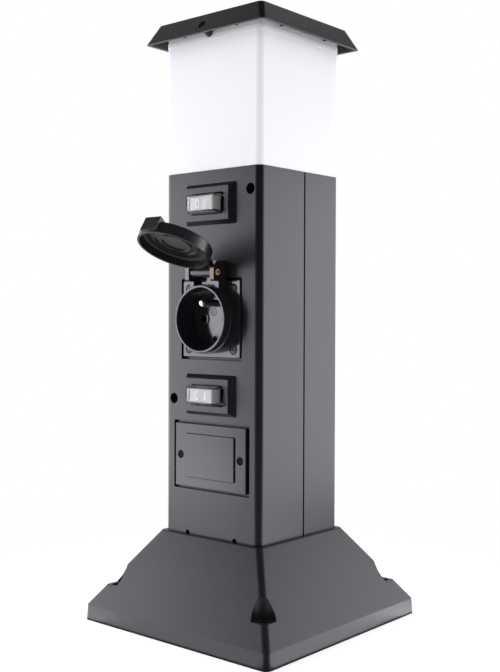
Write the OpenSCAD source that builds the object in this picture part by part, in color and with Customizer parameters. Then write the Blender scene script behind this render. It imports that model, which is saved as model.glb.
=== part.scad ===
// Garden socket post: a square two-shell column on a sloped base hood, with a lamp head under a
// roof cap, two rocker switches under clear boots, a wall-mount style socket with a hinged lid
// and a blank cover in front of the terminal block.
// The origin is on the column's axis at ground level, the socket faces -Y and +Z is up.

/* [Base hood] */
// Width of the hood at the ground
hood_w = 155.7; // [150:0.1:180]
// Width at the top of the skirt
skirt_w = 154.7; // [148:0.1:178]
// Height of the skirt
skirt_h = 10.1; // [6:0.1:14]
// Height of the lip round the column
hood_h = 58.5; // [52:0.1:70]
// Corner radius of the hood
hood_r = 3.5; // [3:0.5:8]
// Wall of the hood
hood_wall = 3; // [2.5:0.1:4]
// Height of the lip above the deck that the column stands on
lip_h = 1.5; // [1:0.1:3]
// Wall of the lip
lip_wall = 2.6; // [1.6:0.05:3]
// Thickness of the deck
deck_t = 3; // [2.5:0.1:5]
// Distance between the ground anchors, centre to centre
anchor_pitch = 126.4; // [122:0.1:130]
// Radius of an anchor hole
anchor_r = 2.75; // [2:0.05:3.5]
// Radius of an anchor pocket
pocket_r = 7.3; // [6:0.1:9]
// Height of an anchor pocket's floor
pocket_z = 22.6; // [16:0.1:26]
// Radius of the boss under an anchor pocket
anchor_boss_r = 6; // [5:0.1:7]
// Width of the easing along the lip's outer edge
lip_ease = 0.6; // [0.3:0.1:1]
// Distance of a stiffening web from the axis
web_x = 38; // [34:0.5:42]
// Thickness of a stiffening web
web_t = 2.2; // [1.6:0.1:3]
// Height of the webs' lower edge above the ground
web_z = 30; // [20:1:40]

/* [Column] */
// Outer width of the square column
column_w = 80.7; // [80:0.1:84]
// Corner radius of the column
column_r = 4; // [3:0.5:6]
// Wall of the two shells
column_wall = 2.5; // [2.2:0.1:3]
// Height of the column's top edge
column_top = 291.5; // [291:0.5:320]
// Distance of the seam behind the axis
seam_y = 3.7; // [0:0.1:8]
// Width of the shadow groove at the seam
seam_gap = 1.3; // [0.4:0.1:1.5]
// Depth of the shadow groove
seam_depth = 1.2; // [0.5:0.1:1.2]
// Thickness of the seam's inner tongue
tongue_t = 1.5; // [1:0.1:2]
// Reach of the tongue into the front shell
tongue_reach = 3; // [2:0.5:5]
// Distance of the upper tie screw right of the axis
tie_upper_x = 32.5; // [32:0.1:33]
// Height of the upper tie screw
tie_upper_z = 277.4; // [276:0.1:277.6]
// Distance of the lower tie screw left of the axis
tie_lower_x = 32.8; // [32:0.1:33]
// Height of the lower tie screw
tie_lower_z = 145.7; // [144:0.1:160]
// Radius of a tie screw's tower
tower_r = 5.5; // [5.5:0.1:6]
// Radius of a tie screw's access hole
access_r = 3.4; // [3.2:0.1:3.8]
// Distance of the corner bosses from the axis, each way
corner_boss_x = 31; // [30:0.1:32]
// Radius of a corner boss
corner_boss_r = 4; // [3.5:0.1:4.5]
// Height of the bosses at the foot of the column
foot_boss_h = 16; // [12:1:24]
// Number of stiffening ribs on each side wall of a shell
rib_count = 4; // [2:1:5]
// How far a stiffening rib stands out of its wall
rib_depth = 2.4; // [1.5:0.1:3]
// Thickness of a stiffening rib
rib_t = 1.4; // [1:0.1:1.8]
// Distance of the drain notches from the axis
notch_x = 20.2; // [10:0.1:24]
// Radius of a drain notch
notch_r = 1.75; // [1:0.05:2.5]
// Height of a drain notch's centre above the column's foot
notch_z = 2.2; // [1.5:0.1:4]

/* [Switches] */
// Height of the upper switch
upper_switch_z = 269.9; // [262:0.1:270.5]
// Height of the lower switch
lower_switch_z = 149.3; // [148:0.1:154]
// Width of a raised switch frame at the column's face
frame_w = 42.5; // [42:0.1:46]
// Height of a raised switch frame at the column's face
frame_h = 26; // [24:0.1:28]
// Width of the frame's front
frame_front_w = 35.7; // [35:0.1:40]
// Height of the frame's front
frame_front_h = 21; // [20:0.1:23]
// How far the frame stands out
frame_out = 4; // [3.5:0.1:5]
// Width of the boot where it leaves the frame
boot_w = 27.2; // [27:0.1:30]
// Height of the boot where it leaves the frame
boot_h = 13; // [12.5:0.1:14]
// Width of the boot's front
boot_front_w = 23.4; // [23.2:0.1:27]
// Height of the boot's front
boot_front_h = 10.4; // [10.4:0.1:12]
// How far the boot's front stands out from the column
boot_out = 10.6; // [10.6:0.1:11.4]
// Wall of the boot
boot_wall = 0.8; // [0.7:0.05:0.85]
// Thickness of the boot's clamped flange
boot_flange_t = 1.2; // [0.8:0.1:1.4]
// Thickness of the front wall round the boot's opening
frame_front_t = 2.4; // [2:0.1:2.6]
// Gap between the boot and its opening
boot_gap = 0.25; // [0.15:0.05:0.4]
// Width of the pocket that holds a boot and its switch
switch_pocket_w = 33; // [32:0.1:34]
// Height of that pocket
switch_pocket_h = 18; // [17.5:0.1:19]
// Width of the switch body's mounting plate
switch_plate_w = 44; // [43:0.5:48]
// Thickness of the mounting plate
switch_plate_t = 2; // [1.5:0.1:3]
// Depth of the switch body behind its mounting plate
switch_depth = 12.5; // [12:0.1:16]
// Width of the switch body behind the plate
switch_body_w = 27.6; // [27:0.1:30]
// Height of the switch body behind the plate
switch_body_h = 13.6; // [13:0.1:15]
// Length of a rocker
rocker_w = 20.8; // [20:0.1:21]
// Height of a rocker
rocker_h = 8.2; // [7.6:0.1:8.3]
// How far a level rocker's face stands out at its ends
rocker_out = 8.2; // [6.8:0.1:8.3]
// Depth of the dip in the middle of a rocker's face
rocker_dip = 0.6; // [0.3:0.1:1]
// How far the rocker's pivot lies behind the column's face
pivot_depth = 1.2; // [1:0.1:1.6]
// Radius of a rocker's pivot pin
pivot_r = 1; // [0.8:0.05:1.2]
// Tilt of a rocker each way
rocker_tilt = 7; // [5:0.5:7.5]
// Distance of the switch screws from the switch's centre
switch_screw_x = 19.4; // [19.2:0.1:19.6]
// Distance between the switch tabs
switch_tab_pitch = 8; // [7:0.1:9]
// Width of a switch tab
switch_tab_w = 6.3; // [4.8:0.1:6.3]
// Length of a switch tab
switch_tab_l = 8; // [6:0.5:10]

/* [Socket] */
// Height of the socket's centre
socket_z = 197.5; // [194:0.1:202]
// Width of the square flange
flange_w = 48.8; // [48.4:0.1:49.5]
// Thickness of the flange
flange_t = 2.6; // [2.2:0.1:3]
// Gap between the flange and its recess
flange_gap = 1.5; // [1:0.1:2]
// Thickness of the seal under the flange
socket_seal_t = 0.8; // [0.5:0.1:1.5]
// Distance between the flange screws, centre to centre
flange_screw_pitch = 38; // [37.8:0.1:38.6]
// Outer radius of the cup
cup_r = 21.3; // [20.8:0.1:21.3]
// Inner radius of the cup
cup_bore_r = 19.6; // [19.4:0.05:19.7]
// How far the cup stands out
cup_out = 10.9; // [10:0.1:11]
// Radius of the collar round the foot of the cup
collar_r = 22; // [21.6:0.1:22.3]
// How far the collar stands out
collar_out = 6; // [4:0.1:6.3]
// Width of the easing along the edges of the cup, collar and flange
socket_ease = 0.4; // [0.2:0.05:0.5]
// Depth of the cup's floor behind the column's face
floor_depth = 4.2; // [3.6:0.1:5]
// Thickness of the insert that makes the floor
insert_t = 3; // [2.5:0.1:4]
// Distance between the two contacts
contact_pitch = 19; // [18.8:0.1:19.2]
// Radius of a contact hole
contact_r = 2.65; // [2.5:0.05:2.8]
// Radius of the raised ring round a contact hole
ring_r = 4.2; // [3.8:0.1:4.5]
// Height of the raised rings
ring_t = 0.8; // [0.4:0.1:1.2]
// Distance of the earth pin above the contacts
earth_y = 10; // [9.8:0.1:10.2]
// Radius of the earth pin
earth_r = 2.4; // [2.3:0.05:2.4]
// How far the earth pin's tip stands out
earth_out = 9.5; // [8:0.1:10]
// Distance of the insert's screw below the centre
insert_screw_y = 13; // [12.5:0.1:13.2]
// Depth of the back housing's rear face behind the column's face
back_depth = 24; // [23:0.5:30]

/* [Lid and hinge] */
// Angle between the closed lid and the lid as it stands open
lid_angle = 116; // [90:1:116]
// Height of the hinge pin above the socket's centre
hinge_y = 29.2; // [29:0.1:30]
// How far the hinge pin stands out
hinge_out = 7.4; // [7.2:0.1:7.8]
// Radius of the hinge pin
hinge_r = 1.2; // [1:0.05:1.3]
// Radius of the hollow in each end of the hinge pin
pin_hollow_r = 0.8; // [0.4:0.05:0.8]
// Radius of the hinge pin's rolled-over ends
pin_head_r = 2; // [1.6:0.1:2.4]
// Thickness of the rolled-over ends
pin_head_t = 0.4; // [0.3:0.1:0.6]
// Width over the two hinge ears
ears_w = 24.6; // [24:0.1:26]
// Thickness of an ear
ear_t = 3.3; // [3:0.1:3.6]
// How far the ears stand out
ear_out = 11; // [10.6:0.1:11.2]
// Height of the ears' top above the hinge pin
ear_top = 7.1; // [6:0.1:7.5]
// Radius of the lid's hinge barrel
barrel_r = 3; // [2.6:0.1:3.1]
// Gap between the barrel and an ear
barrel_gap = 0.5; // [0.3:0.1:0.8]
// Outer radius of the lid
lid_r = 23; // [22.9:0.1:23.3]
// Wall of the lid's skirt
lid_wall = 1.4; // [1.2:0.1:1.5]
// How far the closed lid's rim stands out
lid_rim_out = 6.8; // [6.6:0.1:7.2]
// How far the closed lid's top stands out
lid_top_out = 14; // [13.8:0.1:14.6]
// Thickness of the lid's top
lid_top_t = 2; // [1.8:0.1:2.2]
// Radius of the shoulder round the lid's top
lid_shoulder = 0.6; // [0.4:0.1:1.8]
// Rise of the lid's slightly domed top
lid_dome = 0.8; // [0.4:0.1:1.2]
// Width of the finger tab
tab_w = 13; // [10:0.5:16]
// How far the finger tab stands above the lid's top
tab_rise = 2.8; // [1.5:0.1:3.5]
// How far the finger tab's end lies from the centre
tab_reach = 24.3; // [24:0.1:25]
// Inner radius of the lid's seal
lid_seal_r = 18.2; // [17:0.1:18.6]
// Gap between the closed lid's seal and the cup's rim
lid_seal_gap = 0.3; // [0.2:0.05:0.4]

/* [Blank cover] */
// Height of the cover's centre
cover_z = 109.8; // [106:0.1:112]
// Width of the cover plate
cover_w = 60.6; // [58:0.1:62]
// Height of the cover plate
cover_h = 41.1; // [38:0.1:42]
// Gap between the cover and its recess at the sides
cover_gap_x = 2; // [1:0.1:2.2]
// Gap between the cover and its recess above and below
cover_gap_y = 1.5; // [1:0.1:2]
// Thickness of the cover plate
cover_t = 2.4; // [2.1:0.1:3]
// How far the cover plate stands out
cover_out = 1; // [0.5:0.1:1.5]
// Width of the cover's raised pad
pad_w = 42.4; // [38:0.1:43]
// Height of the cover's raised pad
pad_h = 28.4; // [24:0.1:32]
// Thickness of the raised pad
pad_t = 1; // [0.5:0.1:1.5]
// Width of the easing along the edges of the cover and its pad
cover_ease = 0.4; // [0.2:0.05:0.6]
// Thickness of the seal under the cover
cover_seal_t = 1; // [0.6:0.1:1.4]
// Distance of the cover screws from the middle
cover_screw_x = 25.5; // [25:0.1:26]
// Width of the opening behind the cover
cover_open_w = 40; // [34:0.5:41]
// Height of the opening behind the cover
cover_open_h = 26; // [22:0.5:30]

/* [Lamp head] */
// Thickness of the lamp tray
tray_t = 2.5; // [2:0.1:3]
// Gap between the tray and the shells
tray_gap = 0.35; // [0.2:0.05:0.6]
// Thickness of the seal between the tray and the diffuser
tray_seal_t = 1.8; // [1:0.1:2.2]
// Width of the ledge that carries the tray
ledge_w = 3; // [2:0.1:4]
// Thickness of the ledge
ledge_t = 2.5; // [2:0.1:3]
// Height of the diffuser
diffuser_h = 94; // [90:0.5:110]
// Width of the diffuser at its foot
diffuser_w = 80.9; // [80.4:0.1:82]
// Width of the diffuser at its top
diffuser_top_w = 81; // [80.6:0.1:82.4]
// Wall of the diffuser
diffuser_wall = 2.2; // [1.8:0.1:2.6]
// Thickness of the diffuser's foot flange
diffuser_flange_t = 2.5; // [2:0.1:3]
// Width of the opening in the foot flange
diffuser_open_w = 54; // [48:0.5:55]
// Distance of the bead's lower edge below the diffuser's top
bead_drop = 12; // [11.6:0.1:14]
// Height of the bead
bead_h = 3.2; // [2:0.1:3.4]
// How far the bead stands out
bead_out = 0.3; // [0.3:0.1:0.8]
// Radius of the lampholder
holder_r = 14; // [13:0.1:16]
// Height of the lampholder
holder_h = 28; // [26:0.5:32]
// Radius of the lampholder's foot
holder_foot_r = 19; // [18:0.1:21]
// Radius of the bulb's screw cap
bulb_cap_r = 7; // [6.8:0.1:7.2]
// Height of the bulb's screw cap
bulb_cap_h = 22; // [20:0.5:24]
// Radius of the bulb's globe
globe_r = 22.5; // [18:0.1:24]
// Overall length of the bulb
bulb_l = 72; // [70:0.5:76]

/* [Roof cap] */
// Thickness of the cap between the diffuser's top and the cap's edge
roof_t = 3; // [2:0.1:4]
// Width of the cap at the eaves
eave_w = 100.5; // [99:0.1:104]
// Height of the fascia
fascia_h = 12.5; // [11.5:0.1:13.5]
// Width of the cap's top edge
roof_top_w = 88; // [87:0.1:90]
// Wall of the fascia
roof_wall = 2; // [1.6:0.1:2.4]
// Corner radius of the cap
roof_r = 3; // [2.5:0.5:5]
// Rise of the shallow hip above the edge
hip_rise = 3; // [1:0.5:6]
// Distance of the cap screws left of the axis
cap_screw_x = 1.5; // [0:0.1:6]
// Distance of the cap screws below the cap's edge
cap_screw_drop = 7.1; // [6.6:0.1:7.2]
// Radius of the boss behind the fascia
cap_boss_r = 2.9; // [2.8:0.1:3.2]
// Length of the cap screws' shanks
cap_screw_l = 14; // [12:0.5:15]
// Distance of the ribs under the eaves from the axis
eave_rib_x = 22; // [16:0.5:34]
// Thickness of the ribs under the eaves
eave_rib_t = 1.4; // [1:0.1:2]
// Depth of the locating rim inside the diffuser
rim_depth = 10; // [9:0.5:10.5]

/* [Terminals and gland] */
// Width of the terminal block
block_w = 60; // [58:0.5:64]
// Height of the terminal block
block_h = 18; // [16:0.5:22]
// Thickness of the terminal block
block_t = 16; // [14:0.5:18]
// Distance between two terminals
pole_pitch = 9; // [8:0.1:9.4]
// Number of terminals
pole_count = 5; // [3:2:5]
// Height of a terminal's two wire screws from the middle
pole_screw_y = 4; // [3.5:0.1:4.5]
// Radius of a terminal's bore in the block
pole_r = 2.6; // [2.4:0.05:2.8]
// Depth of a terminal's axis behind the block's front
pole_depth = 8.5; // [8:0.1:9]
// Depth of the step at each end of the block
block_step = 5; // [4:0.1:6]
// Distance of the block's fixing screws from the middle
block_screw_x = 25.5; // [25:0.1:26]
// Length of the pillars that carry the block
pillar_l = 10; // [8:0.5:14]
// Radius of the cable bore in the gland's seal
cable_r = 4.5; // [3:0.1:5]
// Radius of the gland's thread
gland_r = 8; // [7.5:0.1:9]
// Width across the flats of the gland's nuts
gland_af = 24; // [22:0.5:26]
// Length of the gland's body below the deck
gland_drop = 12; // [10:0.5:16]

/* [Screws and fits] */
// Shank radius of the tie screws and foot screws
screw_r = 1.75; // [1.5:0.05:1.9]
// Shank radius of the small screws
small_screw_r = 1.4; // [1.2:0.05:1.5]
// Shank radius of the switch screws
mini_screw_r = 1; // [0.8:0.05:1.05]
// Clearance of a screw shank in the piece it is driven into
screw_fit = 0.05; // [0.02:0.01:0.1]
// Clearance of a screw shank in the piece it passes through
screw_slack = 0.2; // [0.1:0.05:0.3]
// Running clearance of a pin in its bore
pin_fit = 0.06; // [0.02:0.01:0.1]
// Gap between two pieces that stand side by side
side_gap = 0.3; // [0.2:0.05:0.4]

/* [Hidden] */
$fn = 64;
hull_fn = 32;
eps = 0.01;

shell_color = [0.27, 0.27, 0.29];
hood_color = [0.23, 0.23, 0.25];
gloss_color = [0.09, 0.09, 0.10];
steel_color = [0.72, 0.73, 0.75];
brass_color = [0.78, 0.62, 0.32];
rubber_color = [0.12, 0.12, 0.12];

column_foot = hood_h - lip_h;
column_half = column_w / 2;
inner_half = column_half - column_wall;
slope = (skirt_w - lip_w()) / 2 / (hood_h - lip_ease - skirt_h);
hood_wall_run = hood_wall * sqrt(1 + slope * slope);

tray_top = column_top - tray_seal_t;
tray_seat = tray_top - tray_t;
ledge_z = tray_seat - ledge_t;
corner_boss_drop = 10;
corner_screw_bite = 5.2;
tie_head_y = -4.3;
tie_bite = 14;
tie_head_r = 3;
screw_head_h = 2.2;
small_head_r = 2.6;
small_head_h = 1.6;
mini_head_r = 1.8;
mini_head_h = 1.2;

recess_w = flange_w + 2 * flange_gap;
recess_depth = flange_t + socket_seal_t;
housing_rear = floor_depth + insert_t + 2;
housing_tube_r = cup_bore_r + 0.7;
shell_hole_r = housing_tube_r + side_gap;
flange_head_r = 2.8;
flange_head_h = 1.2;
flange_boss_r = 3.4;
wire_slot_w = 5;
flange_boss_depth = 14;
insert_head_r = 2;
insert_head_h = 0.9;
insert_ring_r = 2.9;
insert_ring_t = 0.4;
insert_ledge = cup_bore_r - 2.6;
sleeve_head_r = 4;
sleeve_r = 3.4;
sleeve_bore_r = 2.4;
sleeve_foot = 3;
earth_head_r = 3.6;
earth_foot = 6;
earth_tip = 1.2;
back_wall = 1.8;
back_floor = 2;

cover_recess_w = cover_w + 2 * cover_gap_x;
cover_recess_h = cover_h + 2 * cover_gap_y;
cover_recess_depth = cover_t - cover_out + cover_seal_t;
cover_boss_depth = 11;
cover_head_r = 2.3;
cover_head_h = 1.1;
cover_head_sink = 1.3;

lid_seat_out = lid_top_out - lid_top_t;
bracket_out = 2.6;
ear_drop = 5.6;
gusset_out = lid_rim_out - side_gap;
gusset_foot = collar_r - 5;
barrel_w = ears_w - 2 * ear_t - 2 * barrel_gap;
arm_touch = barrel_r * 0.7;
tab_root = 8;
lid_ribs = [[9, 10], [13.5, 14.5]];

rocker_room = 0.3;
rocker_well = 6.5;
rocker_pin_l = 1.6;
rocker_side_low = 2.2;
rocker_foot = 2.8;
rocker_foot_half = 4;

diffuser_top = column_top + diffuser_h;
roof_edge_z = diffuser_top + roof_t;
roof_eave_z = roof_edge_z - fascia_h;
cap_screw_z = roof_edge_z - cap_screw_drop;
fascia_slope = (eave_w - roof_top_w) / 2 / fascia_h;
fascia_half = roof_top_w / 2 + fascia_slope * cap_screw_drop;
fascia_lean = atan(fascia_slope);
cap_head_depth = 1.6;
cap_head_r = 2.4;
cap_head_h = 1.4;
cap_lug_r = cap_boss_r + 0.6;
cap_lug_l = cap_screw_l + 3;
cap_bite = (fascia_half - diffuser_top_w / 2 + diffuser_wall / 2) / cos(fascia_lean);
rim_half = diffuser_top_w / 2 - diffuser_wall - side_gap - 0.1;
rim_wall = 2;

holder_z = tray_top;
holder_foot_t = 3;
holder_screw_x = holder_r + 1.5;
tray_boss_h = 6;
bulb_z = holder_z + holder_h - bulb_cap_h + 0.5;
thread_low = 4;
thread_pitch = 2.8;
thread_count = 5;
thread_depth = 0.6;
block_face_y = inner_half - pillar_l - block_t;
pole_screw_r = 1.25;

function lip_w() = column_w + 2 * (side_gap + lip_wall);
function hood_half(z) = z < skirt_h
    ? hood_w / 2 - (hood_w - skirt_w) / 2 * z / skirt_h
    : skirt_w / 2 - slope * (z - skirt_h);

// An outline with rounded corners, centred on the origin
module rounded(w, h, r) {
    square([w - 2 * r, h], center = true);
    square([w, h - 2 * r], center = true);
    for (x = [-1, 1], y = [-1, 1])
        translate([x * (w / 2 - r), y * (h / 2 - r)]) circle(r);
}

// A block with rounded upright corners between two heights
module block(w, h, r, low, high)
    translate([0, 0, low]) linear_extrude(high - low) rounded(w, h, r);

// A block with upright sides from its foot to a lower height, and leaning sides above that
module frustum(w, h, top_w, top_h, r, foot, low, high)
    intersection() {
        block(w, h, r, foot, high);
        rotate([90, 0, 0]) translate([0, 0, -h]) linear_extrude(2 * h) polygon([
            [-w / 2, foot], [w / 2, foot], [w / 2, low], [top_w / 2, high], [-top_w / 2, high], [-w / 2, low]
        ]);
        across(2 * w) polygon([
            [-h / 2, foot], [h / 2, foot], [h / 2, low], [top_h / 2, high], [-top_h / 2, high], [-h / 2, low]
        ]);
    }

// A thin slab, one station of a hull
module station(w, h, r, z)
    translate([0, 0, z]) linear_extrude(eps) rounded(w, h, r, $fn = hull_fn);

// A tube between two heights
module tube(outer, inner, low, high)
    difference() {
        translate([0, 0, low]) cylinder(r = outer, h = high - low);
        translate([0, 0, low - 1]) cylinder(r = inner, h = high - low + 2);
    }

module rod(r, low, high) translate([0, 0, low]) cylinder(r = r, h = high - low);

// A rod with a cone along its upper edge
module eased_rod(r, low, high, ease) {
    rod(r, low, high - ease);
    translate([0, 0, high - ease]) cylinder(r1 = r, r2 = r - ease, h = ease);
}

// The front face's own frame: x right, y up, z straight out of the column
module panel(x, z) translate([x, -column_half, z]) rotate([90, 0, 0]) children();

// An outline drawn in the panel's y and z, extruded across the panel
module across(w) rotate([90, 0, 90]) translate([0, 0, -w / 2]) linear_extrude(w) children();

module at_corners(d) for (x = [-d, d], y = [-d, d]) translate([x, y, 0]) children();

module at_sides(d) for (x = [-d, d]) translate([x, 0, 0]) children();

// A pan-head screw with a cross recess; its head bears at z = 0 and its shank points down
module screw(r, length, head_r, head_h)
    difference() {
        union() {
            rotate_extrude() polygon([
                [0, 0], [head_r, 0], [head_r, head_h * 0.45], [head_r * 0.94, head_h * 0.7],
                [head_r * 0.8, head_h * 0.9], [head_r * 0.6, head_h], [0, head_h]
            ]);
            rod(r, -length, head_h / 2);
        }
        for (a = [0, 90]) rotate(a)
            translate([0, 0, head_h]) cube([head_r * 1.2, head_r * 0.32, head_h], center = true);
    }

// Base hood
module hood_form()
    hull() {
        station(hood_w, hood_w, hood_r, 0);
        station(skirt_w, skirt_w, hood_r, skirt_h);
        station(lip_w(), lip_w(), hood_r, hood_h - lip_ease);
        station(lip_w() - 2 * lip_ease, lip_w() - 2 * lip_ease, hood_r - lip_ease, hood_h - eps);
    }

module hood_cavity() {
    deck_z = column_foot - deck_t;
    top_w = 2 * (hood_half(deck_z) - hood_wall_run);
    hull() {
        station(hood_w - 2 * hood_wall, hood_w - 2 * hood_wall, hood_r - 1, -1);
        station(skirt_w - 2 * hood_wall_run, skirt_w - 2 * hood_wall_run, hood_r - 1, skirt_h);
        station(top_w, top_w, hood_r - 1, deck_z - eps);
    }
}

module hood_webs()
    for (x = [-web_x, web_x], a = [0, 90])
        rotate(a) translate([x, 0, web_z + hood_h / 2]) cube([web_t, hood_w, hood_h], center = true);

module base_hood() color(hood_color)
    difference() {
        hood_form();
        difference() {
            hood_cavity();
            hood_webs();
            at_corners(anchor_pitch / 2) {
                rod(anchor_boss_r, -2, pocket_z);
                rod(pocket_r + hood_wall, pocket_z - hood_wall, hood_h);
            }
        }
        block(column_w + 2 * side_gap, column_w + 2 * side_gap, column_r, column_foot, hood_h + 1);
        at_corners(anchor_pitch / 2) {
            rod(pocket_r, pocket_z, hood_h);
            rod(anchor_r, -1, pocket_z + 1);
        }
        at_corners(corner_boss_x) rod(screw_r + screw_slack, 0, hood_h);
        rod(gland_r + screw_slack, 0, hood_h);
    }

module base_screws() color(steel_color)
    at_corners(corner_boss_x) translate([0, 0, column_foot - deck_t])
        mirror([0, 0, 1]) screw(screw_r, deck_t + foot_boss_h - 4, tie_head_r, screw_head_h);

// Cable gland in the middle of the deck
module gland_body() color(gloss_color)
    difference() {
        union() {
            rod(gland_r, column_foot - deck_t - gland_drop, column_foot + 9);
            translate([0, 0, column_foot - deck_t - 5])
                cylinder(d = gland_af / cos(30), h = 5, $fn = 6);
        }
        rod(cable_r + 0.5, 0, hood_h + 20);
        rod(cable_r + 2, 0, column_foot - deck_t - gland_drop + 9);
    }

module gland_seal() color(rubber_color)
    tube(cable_r + 2 - screw_fit, cable_r,
        column_foot - deck_t - gland_drop, column_foot - deck_t - gland_drop + 9);

module gland_cap_nut() color(gloss_color)
    translate([0, 0, column_foot - deck_t - gland_drop - 2]) difference() {
        intersection() {
            cylinder(d = gland_af / cos(30), h = gland_drop - 3.5, $fn = 6);
            rotate_extrude() polygon([
                [0, 0], [gland_af * 0.4, 0], [gland_af * 0.6, 3], [gland_af * 0.6, gland_drop],
                [0, gland_drop]
            ]);
        }
        rod(cable_r + 0.5, -1, 3);
        rod(gland_r + screw_fit, 2, gland_drop);
    }

module gland_lock_nut() color(gloss_color)
    translate([0, 0, column_foot]) difference() {
        cylinder(d = gland_af / cos(30), h = 4.5, $fn = 6);
        rod(gland_r + screw_fit, -1, 6);
    }

// Column shells
module shell_wall(side)
    translate([0, 0, column_foot]) linear_extrude(column_top - column_foot)
        intersection() {
            difference() {
                rounded(column_w, column_w, column_r);
                rounded(2 * inner_half, 2 * inner_half, column_r - column_wall);
            }
            translate([-column_w, side > 0 ? seam_y : seam_y - 2 * column_w])
                square([2 * column_w, 2 * column_w]);
        }

module shell_ledge(side)
    translate([0, 0, ledge_z]) linear_extrude(ledge_t)
        intersection() {
            difference() {
                square(2 * inner_half + 1, center = true);
                square(2 * (inner_half - ledge_w), center = true);
            }
            translate([-column_w, side > 0 ? seam_y : seam_y - 2 * column_w])
                square([2 * column_w, 2 * column_w]);
        }

// The four bosses of one shell: two under the lamp tray and two at the column's foot
module shell_bosses(side)
    for (x = [-1, 1]) translate([x * corner_boss_x, side * corner_boss_x, 0]) {
        web = inner_half - corner_boss_x + 0.5;
        for (span = [[tray_seat - corner_boss_drop, tray_seat], [column_foot, column_foot + foot_boss_h]]) {
            rod(corner_boss_r, span[0], span[1]);
            translate([x > 0 ? 0 : -web, side > 0 ? 0 : -web, span[0]])
                cube([web, web, span[1] - span[0]]);
        }
    }

module shell_boss_holes(side)
    for (x = [-1, 1]) translate([x * corner_boss_x, side * corner_boss_x, 0]) {
        rod(screw_r + screw_fit, tray_seat - corner_screw_bite - 0.2, tray_seat + 1);
        rod(screw_r + screw_fit, column_foot - 1, column_foot + foot_boss_h - 3);
    }

// Level ribs that stiffen the side walls, between the foot bosses and the lower tie screw,
// and between the two tie screws
module shell_ribs(side)
    for (x = [-1, 1], i = [0 : rib_count - 1]) {
        low = i < rib_count / 2 ? column_foot + foot_boss_h : tie_lower_z + tower_r;
        high = i < rib_count / 2 ? tie_lower_z - tower_r : tie_upper_z - tower_r;
        step = (high - low) / (ceil(rib_count / 2) + 1);
        z = low + step * (1 + i % ceil(rib_count / 2));
        near = side > 0 ? seam_y + rib_clear : rib_clear + tongue_reach - seam_y;
        translate([x > 0 ? inner_half - rib_depth : -inner_half - 0.5,
            side > 0 ? near : -inner_half - 0.5, z])
            cube([rib_depth + 0.5, inner_half + 0.5 - near, rib_t]);
    }

module seam_groove()
    translate([0, 0, column_foot - 1]) linear_extrude(column_top - column_foot + 2)
        for (x = [-column_half, column_half])
            translate([x, seam_y]) square([2 * seam_depth, seam_gap], center = true);

// Tie screw towers and what is bored through them
module at_ties() {
    panel(tie_upper_x, tie_upper_z) children();
    panel(-tie_lower_x, tie_lower_z) children();
}

module switch_frame() frustum(frame_w, frame_h, frame_front_w, frame_front_h, 1.5, -1, 0, frame_out);

module switch_cuts() {
    block(boot_w + 2 * boot_gap, boot_h + 2 * boot_gap, 1.5, -column_wall - 1, frame_out + 1);
    block(switch_pocket_w, switch_pocket_h, 1, -column_wall - 1, frame_out - frame_front_t);
    at_sides(switch_screw_x) rod(mini_screw_r + screw_fit, -column_wall - 1, 0.8);
}

module front_shell() color(shell_color)
    difference() {
        union() {
            shell_wall(-1);
            shell_ledge(-1);
            shell_bosses(-1);
            shell_ribs(-1);
            panel(0, upper_switch_z) switch_frame();
            panel(0, lower_switch_z) switch_frame();
            panel(0, socket_z) {
                block(recess_w + 2 * column_wall, recess_w + 2 * column_wall, 2,
                    -recess_depth - column_wall, -eps);
                for (y = [-1, 1]) translate([0, y * flange_screw_pitch / 2, 0])
                    at_sides(flange_screw_pitch / 2) rod(flange_boss_r, -flange_boss_depth, -recess_depth);
            }
            panel(0, cover_z) {
                block(cover_recess_w + 2 * column_wall, cover_recess_h + 2 * column_wall, 2,
                    -cover_recess_depth - column_wall, -eps);
                at_sides(cover_screw_x) rod(flange_boss_r, -cover_boss_depth, -cover_recess_depth);
            }
            at_ties() rod(tower_r, -column_half - seam_y, -column_wall / 2);
        }
        seam_groove();
        shell_boss_holes(-1);
        panel(0, upper_switch_z) switch_cuts();
        panel(0, lower_switch_z) switch_cuts();
        panel(0, socket_z) {
            block(recess_w, recess_w, 1, -recess_depth, 1);
            rod(shell_hole_r, -recess_depth - column_wall - 1, 0);
            for (y = [-1, 1]) translate([0, y * flange_screw_pitch / 2, 0])
                at_sides(flange_screw_pitch / 2)
                    rod(small_screw_r + screw_fit, 1 - flange_boss_depth, 0);
        }
        panel(0, cover_z) {
            block(cover_recess_w, cover_recess_h, 1, -cover_recess_depth, 1);
            block(cover_open_w, cover_open_h, 2, -cover_recess_depth - column_wall - 1, 0);
            at_sides(cover_screw_x) rod(small_screw_r + screw_fit, 1 - cover_boss_depth, 0);
        }
        at_ties() {
            rod(access_r, -column_half - tie_head_y, 1);
            rod(screw_r + screw_slack, -column_half - seam_y - 1, 0);
        }
        for (x = [-notch_x, notch_x]) panel(x, column_foot + notch_z) {
            rod(notch_r, -column_wall - 1, 1);
            translate([-notch_r + 0.05, -notch_z - 1, -column_wall - 1])
                cube([2 * notch_r - 0.1, notch_z + 1, column_wall + 2]);
        }
    }

// Stretches of the rear shell's tongue, clear of the tie screw towers and the corner bosses
rib_clear = 1.5;
tongue_spans = [
    [column_foot + foot_boss_h + 2, tie_lower_z - tower_r - 2],
    [tie_lower_z + tower_r + 2, tie_upper_z - tower_r - 2]
];

module shell_tongue(x) {
    low = x > 0 ? inner_half - 0.1 - tongue_t : 0.1 - inner_half;
    for (span = tongue_spans) translate([0, 0, span[0]]) linear_extrude(span[1] - span[0]) {
        translate([low, seam_y - tongue_reach]) square([tongue_t, tongue_reach + 4]);
        translate([x > 0 ? low : low - 0.5, seam_y]) square([tongue_t + 0.5, 4]);
    }
}

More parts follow.
